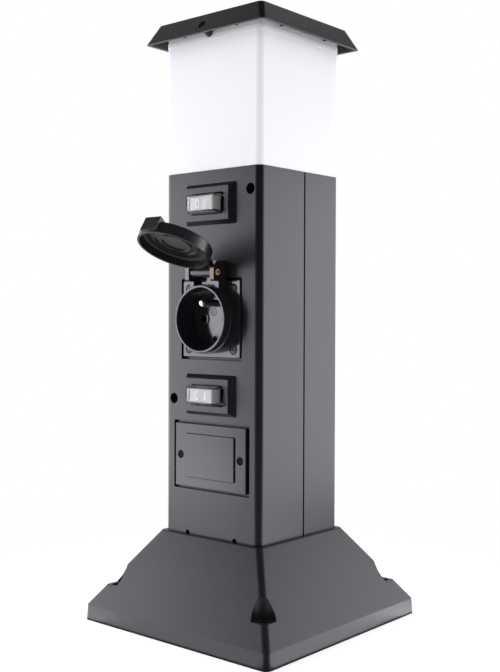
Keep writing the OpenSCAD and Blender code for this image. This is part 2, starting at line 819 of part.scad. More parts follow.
module rear_shell() color(shell_color)
    difference() {
        union() {
            shell_wall(1);
            shell_ledge(1);
            shell_bosses(1);
            shell_ribs(1);
            shell_tongue(-1);
            shell_tongue(1);
            at_ties() rod(tower_r, -column_half - inner_half - 0.5, -column_half - seam_y);
            panel(0, cover_z) at_sides(block_screw_x)
                rod(flange_boss_r, -column_half - inner_half - 0.5, -column_half - inner_half + pillar_l);
        }
        seam_groove();
        shell_boss_holes(1);
        at_ties() rod(screw_r + screw_fit, -column_half - seam_y - tie_bite - 0.5, 0);
        panel(0, cover_z) at_sides(block_screw_x)
            rod(small_screw_r + screw_fit, -column_half - inner_half + 1, 0);
    }

module shell_screws() color(steel_color)
    at_ties() translate([0, 0, -column_half - tie_head_y])
        screw(screw_r, seam_y - tie_head_y + tie_bite, tie_head_r, screw_head_h);

// Terminal block behind the blank cover
module at_poles() for (i = [0 : pole_count - 1])
    translate([(i - (pole_count - 1) / 2) * pole_pitch, 0, 0]) children();

module terminal_block() color([0.85, 0.85, 0.83])
    translate([0, block_face_y, cover_z]) rotate([90, 0, 0]) difference() {
        union() {
            block(block_w, block_h, 1, -block_t, -block_step);
            block(pole_count * pole_pitch - 3, block_h - 5, 1, -block_step - 1, 0);
        }
        at_poles() {
            translate([0, block_h, -pole_depth]) rotate([90, 0, 0]) cylinder(r = pole_r, h = 2 * block_h);
            for (y = [-pole_screw_y, pole_screw_y]) translate([0, y, 0]) rod(pole_r - 1, -pole_depth, 1);
        }
        at_sides(block_screw_x) rod(small_screw_r + screw_slack, -block_t - 1, 0);
    }

module terminal_clamps() color(brass_color)
    translate([0, block_face_y, cover_z]) rotate([90, 0, 0]) at_poles()
        difference() {
            clamp_l = block_h - 3;
            translate([0, clamp_l / 2, -pole_depth]) rotate([90, 0, 0])
                cylinder(r = pole_r - screw_fit, h = clamp_l);
            translate([0, block_h / 2, -pole_depth]) rotate([90, 0, 0])
                cylinder(r = pole_r - 0.9, h = block_h);
            for (y = [-pole_screw_y, pole_screw_y])
                translate([0, y, 0]) rod(pole_screw_r + screw_fit, -pole_depth, 0);
        }

module terminal_screws() color(steel_color)
    translate([0, block_face_y, cover_z]) rotate([90, 0, 0]) at_poles()
        for (y = [-pole_screw_y, pole_screw_y]) translate([0, y, 0]) difference() {
            rod(pole_screw_r, 0.5 - pole_depth, -2);
            translate([0, 0, -2]) cube([2 * pole_screw_r, 0.5, 1], center = true);
        }

module block_screws() color(steel_color)
    translate([0, block_face_y + block_step, cover_z]) rotate([90, 0, 0]) at_sides(block_screw_x)
        screw(small_screw_r, block_t - block_step + pillar_l - 2, small_head_r, small_head_h);

// Blank cover
module cover_plate() color(shell_color)
    panel(0, cover_z) difference() {
        union() {
            frustum(cover_w, cover_h, cover_w - 2 * cover_ease, cover_h - 2 * cover_ease, 1,
                cover_out - cover_t, cover_out - cover_ease, cover_out);
            frustum(pad_w, pad_h, pad_w - 2 * cover_ease, pad_h - 2 * cover_ease, 1.5,
                cover_out - 0.5, cover_out + pad_t - cover_ease, cover_out + pad_t);
        }
        at_sides(cover_screw_x) {
            rod(small_screw_r + screw_slack, -cover_t, 5);
            rod(cover_head_r + side_gap, cover_out - cover_head_sink, 5);
        }
    }

module cover_seal() color(rubber_color)
    panel(0, cover_z) difference() {
        block(cover_w - 1, cover_h - 1, 1, -cover_recess_depth, cover_out - cover_t);
        block(cover_open_w, cover_open_h, 2, -5, 1);
        at_sides(cover_screw_x) rod(small_screw_r + screw_slack, -5, 1);
    }

module cover_screws() color(steel_color)
    panel(0, cover_z) at_sides(cover_screw_x) translate([0, 0, cover_out - cover_head_sink])
        screw(small_screw_r, cover_boss_depth - 2, cover_head_r, cover_head_h);

// Socket
module socket_housing() color(gloss_color)
    panel(0, socket_z) difference() {
        union() {
            frustum(flange_w, flange_w, flange_w - 2 * socket_ease, flange_w - 2 * socket_ease, 2,
                -flange_t, -socket_ease, 0);
            eased_rod(collar_r, -1, collar_out, socket_ease);
            eased_rod(cup_r, -1, cup_out, socket_ease);
            rod(housing_tube_r, -housing_rear, -1);
            across(ears_w) polygon([
                [flange_w / 2 - 3, -1], [flange_w / 2 - side_gap, -1], [flange_w / 2 - side_gap, side_gap],
                [hinge_y + ear_top, side_gap], [hinge_y + ear_top, bracket_out],
                [flange_w / 2 - 3, bracket_out]
            ]);
            at_sides((ears_w - ear_t) / 2) across(ear_t) polygon([
                [hinge_y - ear_drop, side_gap + 1], [hinge_y + ear_top, side_gap + 1],
                [hinge_y + ear_top, ear_out - 3], [hinge_y + ear_top - 3, ear_out],
                [hinge_y - ear_drop + 1, ear_out], [hinge_y - ear_drop, ear_out - 1]
            ]);
            at_sides((ears_w - ear_t) / 2) across(ear_t) polygon([
                [gusset_foot, -1], [hinge_y - ear_drop + 1, -1], [hinge_y - ear_drop + 1, gusset_out],
                [gusset_foot, gusset_out]
            ]);
        }
        rod(cup_bore_r, -floor_depth - insert_t, cup_out + 1);
        translate([0, 0, cup_out - socket_ease])
            cylinder(r1 = cup_bore_r, r2 = cup_bore_r + 2 * socket_ease, h = 2 * socket_ease);
        rod(insert_ledge, -housing_rear - 1, 0);
        for (y = [-1, 1]) translate([0, y * flange_screw_pitch / 2, 0])
            at_sides(flange_screw_pitch / 2) {
                rod(small_screw_r + screw_slack, -5, 2);
                rod(flange_head_r + side_gap, -flange_head_h, 2);
            }
        translate([0, hinge_y, hinge_out]) rotate([0, 90, 0])
            cylinder(r = hinge_r + screw_fit / 2, h = ears_w + 2, center = true);
    }

module socket_seal() color(rubber_color)
    panel(0, socket_z) difference() {
        block(flange_w - 0.6, flange_w - 0.6, 2, -recess_depth, -flange_t);
        rod(shell_hole_r, -recess_depth - 1, 0);
        for (y = [-1, 1]) translate([0, y * flange_screw_pitch / 2, 0])
            at_sides(flange_screw_pitch / 2) rod(small_screw_r + screw_slack, -5, 0);
    }

module socket_insert() color(gloss_color)
    panel(0, socket_z) difference() {
        union() {
            rod(cup_bore_r - 0.15, -floor_depth - insert_t, -floor_depth);
            at_sides(contact_pitch / 2)
                eased_rod(ring_r, -floor_depth - 1, -floor_depth + ring_t, ring_t / 2);
            translate([0, -insert_screw_y, 0])
                rod(insert_ring_r, -floor_depth - 1, -floor_depth + insert_ring_t);
        }
        at_sides(contact_pitch / 2) rod(contact_r, -floor_depth - insert_t - 1, 0);
        translate([0, earth_y, 0]) rod(earth_r + pin_fit, -floor_depth - insert_t - 1, 0);
        translate([0, -insert_screw_y, 0]) {
            rod(small_screw_r + screw_slack, -floor_depth - insert_t - 1, 0);
            rod(insert_head_r + 0.2, -floor_depth - 1, 0);
        }
    }

module contact_sleeves() color(brass_color)
    panel(0, socket_z) at_sides(contact_pitch / 2) difference() {
        union() {
            rod(sleeve_head_r, -housing_rear, -floor_depth - insert_t);
            rod(sleeve_r, -back_depth + sleeve_foot, -housing_rear);
        }
        rod(sleeve_bore_r, -back_depth + 2 * sleeve_foot, 0);
    }

module earth_pin() color(steel_color)
    panel(0, socket_z) translate([0, earth_y, 0]) {
        rod(earth_r, -back_depth + earth_foot, earth_out - earth_tip);
        translate([0, 0, earth_out - earth_tip]) rotate_extrude() polygon([
            [0, 0], [earth_r, 0], [earth_r - earth_tip / 4, earth_tip / 2], [earth_r - earth_tip, earth_tip],
            [0, earth_tip]
        ]);
        rod(earth_head_r, -housing_rear, -floor_depth - insert_t);
    }

module socket_back() color([0.2, 0.2, 0.21])
    panel(0, socket_z) difference() {
        union() {
            difference() {
                rod(housing_tube_r, -back_depth, -housing_rear);
                rod(housing_tube_r - back_wall, back_floor - back_depth, 0);
            }
            translate([0, -insert_screw_y, 0]) rod(3, -back_depth + 1, -floor_depth - insert_t);
            at_sides(contact_pitch / 2) rod(sleeve_r, -back_depth + 1, -back_depth + sleeve_foot);
            translate([0, earth_y, 0]) rod(sleeve_r, -back_depth + 1, -back_depth + earth_foot);
        }
        translate([0, -insert_screw_y, 0])
            rod(small_screw_r + screw_fit, -back_depth + 2.5, 0);
        for (a = [60, 180, 300]) rotate(a) translate([housing_tube_r, 0, -back_depth + 6])
            cube([4 * wire_slot_w / 3, wire_slot_w, wire_slot_w], center = true);
    }

module insert_screw() color(steel_color)
    panel(0, socket_z) translate([0, -insert_screw_y, -floor_depth - 1])
        screw(small_screw_r, back_depth - floor_depth - 4, insert_head_r, insert_head_h);

module socket_screws() color(steel_color)
    panel(0, socket_z) for (y = [-1, 1]) translate([0, y * flange_screw_pitch / 2, -flange_head_h])
        at_sides(flange_screw_pitch / 2)
            screw(small_screw_r, flange_boss_depth - 3, flange_head_r, flange_head_h);

module hinge_pin() color([0.80, 0.50, 0.28])
    panel(0, socket_z) translate([0, hinge_y, hinge_out]) rotate([0, 90, 0])
        difference() {
            union() {
                cylinder(r = hinge_r, h = ears_w, center = true);
                for (a = [0, 180]) rotate([a, 0, 0])
                    eased_rod(pin_head_r, ears_w / 2, ears_w / 2 + pin_head_t, pin_head_t / 2);
            }
            for (a = [0, 180]) rotate([a, 0, 0]) rod(pin_hollow_r, ears_w / 2 - 2 * hinge_r, ears_w);
        }

// Turns what is drawn for the closed lid to where the lid stands open
module lid_open() panel(0, socket_z)
    translate([0, hinge_y, hinge_out]) rotate([-lid_angle, 0, 0])
        translate([0, -hinge_y, -hinge_out]) children();

module socket_lid() color(gloss_color)
    lid_open() difference() {
        union() {
            rotate_extrude() polygon([
                [0, lid_seat_out], [lid_r - lid_wall, lid_seat_out], [lid_r - lid_wall, lid_rim_out],
                [lid_r, lid_rim_out],
                for (a = [0 : 15 : 75]) [
                    lid_r - lid_shoulder * (1 - cos(a)), lid_top_out - lid_shoulder * (1 - sin(a))
                ],
                for (i = [0 : 4]) [
                    (lid_r - lid_shoulder) * (1 - i / 4), lid_top_out + lid_dome * (1 - pow(1 - i / 4, 2))
                ]
            ]);
            for (rib = lid_ribs) tube(rib[1], rib[0], lid_seat_out - 0.8, lid_seat_out + 0.5);
            across(tab_w) polygon([
                [-lid_r + tab_root + 1, lid_top_out - 1], [-lid_r + tab_root, lid_top_out + 0.3],
                [-tab_reach + 1, lid_top_out + tab_rise], [-tab_reach, lid_rim_out + 1],
                [-lid_r + 0.5, lid_rim_out + 1], [-lid_r + 0.5, lid_top_out - 1]
            ]);
            across(barrel_w) {
                polygon([
                    [lid_r - 1, lid_rim_out + 2.6], [lid_r - 1, lid_top_out - 0.4],
                    [lid_r + 1.6, lid_top_out - 0.4], [hinge_y + arm_touch, hinge_out + arm_touch],
                    [hinge_y, hinge_out], [hinge_y - arm_touch, hinge_out + arm_touch]
                ]);
                translate([hinge_y, hinge_out]) circle(barrel_r);
            }
        }
        translate([0, hinge_y, hinge_out]) rotate([0, 90, 0])
            cylinder(r = hinge_r + pin_fit, h = ears_w, center = true);
    }

module lid_seal() color(rubber_color)
    lid_open() tube(lid_r - lid_wall - 0.2, lid_seal_r, cup_out + lid_seal_gap, lid_seat_out);

// Switches
module switch_body() {
    seat = -column_wall;
    boot_seat = frame_out - frame_front_t - boot_flange_t;
    half_room = rocker_w / 2 + 1.1;
    difference() {
        union() {
            block(switch_plate_w, switch_pocket_h, 1, seat - switch_plate_t, seat);
            block(switch_pocket_w - 2 * side_gap, switch_pocket_h - 2 * side_gap, 1, seat - 1, boot_seat);
            block(switch_body_w, switch_body_h, 1, seat - switch_plate_t - switch_depth, seat - 1);
        }
        block(2 * half_room, rocker_h + 2 * rocker_room, 0.5, -rocker_well, frame_out);
        translate([0, 0, -pivot_depth]) rotate([90, 0, 0])
            cylinder(r = pivot_r + pin_fit, h = rocker_h + 2 * rocker_pin_l + 0.6, center = true);
        at_sides(switch_screw_x) rod(mini_screw_r + screw_slack, seat - 5, 0);
    }
}

module rocker()
    translate([0, 0, -pivot_depth]) rotate([0, -rocker_tilt, 0]) {
        half = rocker_w / 2;
        top = rocker_out + pivot_depth;
        rotate([90, 0, 0]) translate([0, 0, -rocker_h / 2]) linear_extrude(rocker_h) polygon([
            [-half, top], [0, top - rocker_dip], [half, top], [half - 0.4, rocker_side_low],
            [rocker_foot_half, -rocker_foot], [-rocker_foot_half, -rocker_foot],
            [-half + 0.4, rocker_side_low]
        ]);
        rotate([90, 0, 0]) cylinder(r = pivot_r, h = rocker_h + 2 * rocker_pin_l, center = true);
    }

module boot() {
    seat = frame_out - frame_front_t;
    difference() {
        union() {
            block(switch_pocket_w - 2 * side_gap, switch_pocket_h - 2 * side_gap, 1,
                seat - boot_flange_t, seat);
            frustum(boot_w, boot_h, boot_front_w, boot_front_h, 1.5, seat - 0.5, frame_out, boot_out);
        }
        frustum(boot_w - 2 * boot_wall, boot_h - 2 * boot_wall,
            boot_front_w - 2 * boot_wall, boot_front_h - 2 * boot_wall, 0.8,
            seat - boot_flange_t - 1, frame_out, boot_out - boot_wall);
    }
}

module upper_switch_body() color(gloss_color) panel(0, upper_switch_z) switch_body();
module upper_rocker() color([0.85, 0.85, 0.87]) panel(0, upper_switch_z) rocker();
module upper_boot() color([0.85, 0.86, 0.88, 0.6]) panel(0, upper_switch_z) boot();
module lower_switch_body() color(gloss_color) panel(0, lower_switch_z) switch_body();
module lower_rocker() color([0.85, 0.85, 0.87]) panel(0, lower_switch_z) rocker();
module lower_boot() color([0.85, 0.86, 0.88, 0.6]) panel(0, lower_switch_z) boot();

module switch_tabs() color(brass_color)
    for (z = [upper_switch_z, lower_switch_z], i = [-1, 0, 1]) panel(i * switch_tab_pitch, z)
        translate([0, 0, -column_wall - switch_plate_t - switch_depth - switch_tab_l / 2])
            cube([0.8, switch_tab_w, switch_tab_l], center = true);

module switch_screws() color(steel_color)
    for (z = [upper_switch_z, lower_switch_z]) panel(0, z) at_sides(switch_screw_x)
        translate([0, 0, -column_wall - switch_plate_t]) mirror([0, 0, 1])
            screw(mini_screw_r, switch_plate_t + column_wall + 0.5, mini_head_r, mini_head_h);

// Lamp head
module lamp_tray() color(shell_color)
    difference() {
        tray_w = 2 * (inner_half - tray_gap);
        union() {
            block(tray_w, tray_w, 1, tray_seat, tray_top);
            at_sides(holder_r) rod(3.5, tray_seat - tray_boss_h, tray_seat);
        }
        at_corners(corner_boss_x) rod(screw_r + screw_slack, tray_seat - 1, tray_top + 1);
        rod(6, tray_seat - 1, tray_top + 1);
        at_sides(holder_screw_x) rod(small_screw_r + screw_fit, tray_seat - tray_boss_h + 1, tray_top + 1);
    }

module lampholder() color([0.9, 0.9, 0.88])
    difference() {
        union() {
            rod(holder_foot_r, holder_z, holder_z + holder_foot_t);
            rod(holder_r - 3, holder_z, holder_z + holder_h);
        }
        rod(bulb_cap_r + 0.8, bulb_z - 1, holder_z + holder_h + 1);
        rod(2, holder_z - 1, holder_z + holder_h);
        at_sides(holder_screw_x) rod(small_screw_r + screw_slack, holder_z - 1, holder_z + 5);
    }

module lamp_contacts() color(brass_color) {
    tube(bulb_cap_r + 0.7, bulb_cap_r + 0.1, bulb_z + 2, holder_z + holder_h - 3);
    rod(3, bulb_z - 1, bulb_z - 0.1);
}

module holder_screws() color(steel_color)
    at_sides(holder_screw_x) translate([0, 0, holder_z + holder_foot_t])
        screw(small_screw_r, holder_foot_t + tray_t + 3, small_head_r, small_head_h);

module bulb_cap() color(steel_color)
    translate([0, 0, bulb_z]) rotate_extrude() polygon([
        [0, 0], [2.5, 0], [bulb_cap_r - 1.5, 2.5],
        for (i = [0 : thread_count - 1], side = [0, 1])
            [bulb_cap_r - (side > 0 ? 0 : thread_depth), thread_low + (i + side / 2) * thread_pitch],
        [bulb_cap_r - thread_depth, thread_low + thread_count * thread_pitch],
        [bulb_cap_r, bulb_cap_h - 1], [bulb_cap_r, bulb_cap_h], [0, bulb_cap_h]
    ]);

module bulb_globe() color([0.96, 0.96, 0.94, 0.8])
    translate([0, 0, bulb_z]) rotate_extrude(convexity = 4)
        intersection() {
            union() {
                translate([0, bulb_l - globe_r]) circle(globe_r);
                polygon([
                    [0, bulb_cap_h], [bulb_cap_r + 1.5, bulb_cap_h],
                    [globe_r * 0.8, bulb_l - globe_r * 1.6], [0, bulb_l - globe_r]
                ]);
            }
            translate([0, bulb_cap_h]) square([globe_r + 1, bulb_l]);
        }

module tray_seal() color(rubber_color)
    difference() {
        seal_w = 2 * (inner_half - tray_gap);
        block(seal_w, seal_w, 1, tray_top, column_top);
        block(diffuser_open_w, diffuser_open_w, 6, tray_top - 1, column_top + 1);
        at_corners(corner_boss_x) rod(screw_r + screw_slack, tray_top - 1, column_top + 1);
    }

module diffuser() color([0.96, 0.96, 1.0, 0.9])
    difference() {
        union() {
            hull() {
                station(diffuser_w, diffuser_w, column_r, column_top);
                station(diffuser_top_w, diffuser_top_w, column_r, diffuser_top - eps);
            }
            bead_w = diffuser_top_w + 2 * bead_out;
            block(bead_w, bead_w, column_r + bead_out,
                diffuser_top - bead_drop, diffuser_top - bead_drop + bead_h);
        }
        hull() {
            foot_w = diffuser_w - 2 * diffuser_wall;
            top_w = diffuser_top_w - 2 * diffuser_wall;
            station(foot_w, foot_w, column_r - 2, column_top + diffuser_flange_t);
            station(top_w, top_w, column_r - 2, diffuser_top);
        }
        block(diffuser_open_w, diffuser_open_w, 6, column_top - 1, diffuser_top + 1);
        at_corners(corner_boss_x) rod(screw_r + screw_slack, column_top - 1, column_top + 10);
        at_cap_screws() rod(small_screw_r + screw_slack, -cap_screw_l, 0);
    }

module diffuser_screws() color(steel_color)
    at_corners(corner_boss_x) translate([0, 0, column_top + diffuser_flange_t])
        screw(screw_r, column_top + diffuser_flange_t - tray_seat + corner_screw_bite,
            tie_head_r, screw_head_h);

// Roof cap
module roof_form()
    hull() {
        station(eave_w, eave_w, roof_r, roof_eave_z);
        station(roof_top_w, roof_top_w, roof_r, roof_edge_z);
        station(4, 4, 1, roof_edge_z + hip_rise);
    }

module roof_hollow()
    hull() {
        station(eave_w - 2 * roof_wall, eave_w - 2 * roof_wall, roof_r - 1, roof_eave_z - 1);
        top_w = roof_top_w - 2 * roof_wall + 2 * fascia_slope * (roof_edge_z - diffuser_top);
        station(top_w, top_w, roof_r - 1, diffuser_top - eps);
    }

// Turns what points along z square to the fascia, at the cap screws front and rear
module at_cap_screws()
    for (a = [0, 180]) rotate(a)
        translate([a > 0 ? cap_screw_x : -cap_screw_x, -fascia_half, cap_screw_z])
            rotate([90 - fascia_lean, 0, 0]) children();

module roof_cap() color([0.15, 0.15, 0.16])
    difference() {
        rib_start = diffuser_top_w / 2 + bead_out + side_gap;
        union() {
            difference() {
                roof_form();
                difference() {
                    roof_hollow();
                    difference() {
                        rim_open = 2 * (rim_half - rim_wall);
                        block(2 * rim_half, 2 * rim_half, 1.5, diffuser_top - rim_depth, diffuser_top);
                        block(rim_open, rim_open, 1, 0, diffuser_top - eps);
                    }
                    for (x = [-eave_rib_x, eave_rib_x], a = [0 : 90 : 270]) rotate(a)
                        translate([x - eave_rib_t / 2, rib_start, roof_eave_z + 2])
                            cube([eave_rib_t, eave_w, fascia_h]);
                }
            }
            difference() {
                at_cap_screws() rod(cap_boss_r, -cap_screw_l, -1);
                block(2 * rib_start, 2 * rib_start, column_r + bead_out, column_top, roof_edge_z);
            }
            intersection() {
                at_cap_screws() rod(cap_lug_r, -cap_lug_l, -cap_bite);
                block(2 * rim_half, 2 * rim_half, 1.5, column_top, diffuser_top);
            }
        }
        at_cap_screws() {
            rod(small_screw_r + screw_fit, -cap_lug_l - 1, 0);
            rod(small_screw_r + screw_slack, -cap_bite, 5);
            rod(cap_head_r + side_gap, -cap_head_depth, 5);
        }
    }

module cap_screws() color(steel_color)
    at_cap_screws() translate([0, 0, -cap_head_depth])
        screw(small_screw_r, cap_screw_l, cap_head_r, cap_head_h);

base_hood();
base_screws();
gland_body();
gland_seal();
gland_cap_nut();
gland_lock_nut();
front_shell();
rear_shell();
shell_screws();
terminal_block();
terminal_clamps();
terminal_screws();
block_screws();
cover_plate();
cover_seal();
cover_screws();
socket_housing();
socket_seal();
socket_insert();
contact_sleeves();
earth_pin();
socket_back();
insert_screw();
socket_screws();
hinge_pin();
socket_lid();
lid_seal();
upper_switch_body();
upper_rocker();
upper_boot();
lower_switch_body();
lower_rocker();
lower_boot();
switch_tabs();
switch_screws();
lamp_tray();
lampholder();
lamp_contacts();
holder_screws();
bulb_cap();
bulb_globe();
tray_seal();
diffuser();
diffuser_screws();
roof_cap();
cap_screws();
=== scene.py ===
import math

import bpy
from mathutils import Matrix, Vector


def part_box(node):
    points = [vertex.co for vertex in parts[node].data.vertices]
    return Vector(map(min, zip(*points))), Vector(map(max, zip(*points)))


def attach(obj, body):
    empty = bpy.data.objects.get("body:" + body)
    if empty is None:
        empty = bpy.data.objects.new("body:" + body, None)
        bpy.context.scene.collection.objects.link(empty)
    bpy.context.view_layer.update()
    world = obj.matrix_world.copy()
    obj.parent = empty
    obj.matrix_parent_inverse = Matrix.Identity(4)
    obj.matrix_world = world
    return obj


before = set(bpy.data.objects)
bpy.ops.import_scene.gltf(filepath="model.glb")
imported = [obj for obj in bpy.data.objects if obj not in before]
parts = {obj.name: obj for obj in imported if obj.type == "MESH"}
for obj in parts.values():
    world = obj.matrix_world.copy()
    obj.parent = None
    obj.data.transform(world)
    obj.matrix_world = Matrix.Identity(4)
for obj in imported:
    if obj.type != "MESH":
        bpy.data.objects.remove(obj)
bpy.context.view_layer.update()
bpy.ops.object.select_all(action="DESELECT")

# Camera
# It stands level with the socket, in front of the near corner, with a long lens.
# Its place, its turn and its lens were fitted to edges in the photograph.
seen_from = (0.4382, -0.5127, 0.1992)
turned, tipped, leaning = math.radians(40.57), math.radians(-1.10), math.radians(0.17)
camera_data = bpy.data.cameras.new("camera")
camera_data.lens = 54.53
camera_data.sensor_width = 36
camera_data.shift_x = -0.00234
camera_data.clip_start = 0.01
camera = bpy.data.objects.new("camera", camera_data)
camera.rotation_euler = (
    Matrix.Rotation(turned, 3, "Z")
    @ Matrix.Rotation(math.pi / 2 + tipped, 3, "X")
    @ Matrix.Rotation(leaning, 3, "Z")
).to_euler()
camera.location = seen_from
bpy.context.collection.objects.link(camera)
bpy.context.scene.camera = camera
bpy.context.scene.view_settings.view_transform = "Standard"


# Base hood
# A black hood moulded in one piece, open below, with a pocket for a ground anchor in each corner.
# It is matt and finely stippled, and its edges are slightly rounded by the tool.
class Shade:
    """A socket of a finish. Sums and products of shades add Math nodes, and node adds any other."""

    def __init__(self, tree, socket=None):
        self.tree = tree
        self.socket = socket

    def node(self, kind, settings=None, values=None, out=0):
        """Adds a node, sets it, fills or links its inputs, and gives the output that is named."""
        made = self.tree.nodes.new(kind)
        for name, setting in (settings or {}).items():
            if name == "stops":
                for stop, (place, shade) in zip(made.color_ramp.elements, setting):
                    stop.position = place
                    stop.color = (shade, shade, shade, 1)
            else:
                setattr(made, name, setting)
        for name, value in (values or {}).items():
            if isinstance(value, Shade):
                self.tree.links.new(value.socket, made.inputs[name])
            else:
                made.inputs[name].default_value = value
        return Shade(self.tree, made.outputs[out] if made.outputs else None)

    def maths(self, operation, first, second):
        return self.node("ShaderNodeMath", {"operation": operation}, {0: first, 1: second})

    def __add__(self, other):
        return self.maths("ADD", self, other)

    def __sub__(self, other):
        return self.maths("SUBTRACT", self, other)

    def __rsub__(self, other):
        return self.maths("SUBTRACT", other, self)

    def __mul__(self, other):
        return self.maths("MULTIPLY", self, other)

    __radd__ = __add__
    __rmul__ = __mul__


def new_finish(name):
    """An empty material, and the shade that its nodes are added from."""
    finish = bpy.data.materials.new(name)
    finish.use_nodes = True
    finish.node_tree.nodes.clear()
    return finish, Shade(finish.node_tree)


def coat(
    name, colour, rough, grain, relief, drift=0.08, rough_drift=0.05, easing=0.0003, painted_shade=None, **skin
):
    """A finish whose colour and gloss drift a little. Grain, relief and easing are sizes in metres."""
    finish, start = new_finish(name)
    place = start.node("ShaderNodeTexCoord", out="Object")
    cloud = start.node(
        "ShaderNodeTexNoise", values={"Vector": place, "Scale": 22.0, "Detail": 4.0, "Roughness": 0.6}
    )
    fine = start.node("ShaderNodeTexNoise", values={"Vector": place, "Scale": 1 / grain, "Detail": 3.0})
    cloud_share = 0.7
    mottle = cloud * cloud_share + fine * (1 - cloud_share)
    deep = [c * (1 - drift) for c in colour] + [1]
    pale = [c * (1 + drift) for c in colour] + [1]
    paint = start.node("ShaderNodeMix", {"data_type": "RGBA"}, {0: mottle, 6: deep, 7: pale}, out=2)
    # A finish may take painted shade over its colour here, such as the hinge pin's dark hollow.
    if painted_shade:
        paint = painted_shade(place, paint)
    eased = start.node("ShaderNodeBevel", {"samples": 4}, {"Radius": easing})
    bump = start.node(
        "ShaderNodeBump", values={"Strength": 1.0, "Distance": relief, "Height": fine, "Normal": eased}
    )
    surface = start.node(
        "ShaderNodeBsdfPrincipled",
        values={
            "Base Color": paint,
            "Roughness": rough - rough_drift / 2 + mottle * rough_drift,
            "Normal": bump,
            **skin,
        },
    )
    start.node("ShaderNodeOutputMaterial", values={"Surface": surface})
    return finish


def dress(finish, *names):
    """Gives CAD pieces their finish."""
    for name in names:
        skin = parts[name].data
        for place in range(len(skin.materials)):
            skin.materials[place] = finish


plum_sheen = (0.93, 0.88, 1.0, 1)
hood_black = coat(
    "hood_black",
    (0.009, 0.0085, 0.010),
    rough=0.42,
    grain=0.0009,
    relief=0.00010,
    drift=0.3,
    easing=0.0006,
    **{"Specular Tint": plum_sheen, "Specular IOR Level": 0.44},
)
dress(hood_black, "base_hood")

# Foot screws
# Four zinc-plated pan heads with a cross recess.
# They are driven up through the hood's deck and hold the column on it.
plated_steel = coat(
    "plated_steel",
    (0.62, 0.63, 0.66),
    rough=0.28,
    grain=0.0006,
    relief=0.00001,
    rough_drift=0.12,
    Metallic=1.0,
)
dress(plated_steel, "base_screws")

# Cable gland
# The body and its two nuts are black nylon, and a rubber sleeve inside grips the cable.
# The body stands in the hood's deck and is held by the lock nut.
black_nylon = coat("black_nylon", (0.020, 0.020, 0.022), rough=0.38, grain=0.0008, relief=0.00002)
dress(black_nylon, "gland_body", "gland_cap_nut", "gland_lock_nut")
black_rubber = coat("black_rubber", (0.022, 0.022, 0.023), rough=0.66, grain=0.0005, relief=0.00003)
dress(black_rubber, "gland_seal")

# Column shells
# Two U-shaped shells of dark satin plastic meet at a groove on each side, and carry everything else.
# They are injection moulded, with two raised switch frames, and two screws from the front tie them.
shell_grey = coat(
    "shell_grey",
    (0.0055, 0.005, 0.006),
    rough=0.32,
    grain=0.0005,
    relief=0.000025,
    drift=0.10,
    rough_drift=0.06,
    **{"Specular Tint": plum_sheen},
)
dress(shell_grey, "front_shell", "rear_shell")
dress(plated_steel, "shell_screws")

# Terminal block
# A pale nylon strip with brass clamps takes the supply cable, behind the blank cover.
# Two steel screws hold it to the rear shell.
pale_nylon = coat(
    "pale_nylon",
    (0.72, 0.71, 0.67),
    rough=0.42,
    grain=0.0006,
    relief=0.00002,
    **{"Subsurface Weight": 0.1},
)
dress(pale_nylon, "terminal_block")
bright_brass = coat(
    "bright_brass", (0.72, 0.50, 0.22), rough=0.24, grain=0.0006, relief=0.00001, Metallic=1.0
)
dress(bright_brass, "terminal_clamps")
dress(plated_steel, "terminal_screws", "block_screws")

# Blank cover
# A flat plate with a raised pad closes the terminal compartment, on a rubber seal.
# It is moulded in the shells' plastic, in a smoother tool, and held by two black screws.
cover_grey = coat(
    "cover_grey",
    (0.0055, 0.005, 0.006),
    rough=0.22,
    grain=0.0005,
    relief=0.000015,
    drift=0.10,
    rough_drift=0.05,
    **{"Specular Tint": plum_sheen},
)
dress(cover_grey, "cover_plate")
dress(black_rubber, "cover_seal")
black_steel = coat(
    "black_steel",
    (0.004, 0.004, 0.005),
    rough=0.36,
    grain=0.0005,
    relief=0.00001,
    **{"Specular IOR Level": 0.08},
)
dress(black_steel, "cover_screws")

# Socket
# The housing, with its cup, collar, flange and hinge ears, is one polished black moulding.
# An insert with a raised earth sign is the floor of the cup. Behind it a round nylon back holds the
# bronze contacts and the nickel-plated earth pin, and four screws fix the flange on a rubber seal.
polished_black = coat(
    "polished_black",
    (0.010, 0.009, 0.011),
    rough=0.13,
    grain=0.0020,
    relief=0.000004,
    rough_drift=0.03,
    **{"Specular IOR Level": 0.8, "Specular Tint": plum_sheen},
)
dress(polished_black, "socket_housing", "socket_insert")
dress(black_nylon, "socket_back")
dress(black_rubber, "socket_seal")
dress(black_steel, "insert_screw")
nickel = coat("nickel", (0.70, 0.69, 0.67), rough=0.16, grain=0.0008, relief=0.000004, Metallic=1.0)
dress(nickel, "earth_pin")
oiled_steel = coat(
    "oiled_steel", (0.030, 0.030, 0.032), rough=0.24, grain=0.0005, relief=0.00001, rough_drift=0.10
)
dress(oiled_steel, "socket_screws")
dark_bronze = coat(
    "dark_bronze", (0.06, 0.045, 0.03), rough=0.5, grain=0.0005, relief=0.00001, Metallic=1.0
)
dress(dark_bronze, "contact_sleeves")
sign_black = coat(
    "sign_black", (0.010, 0.009, 0.011), rough=0.55, grain=0.0020, relief=0.000002, easing=0.00002
)


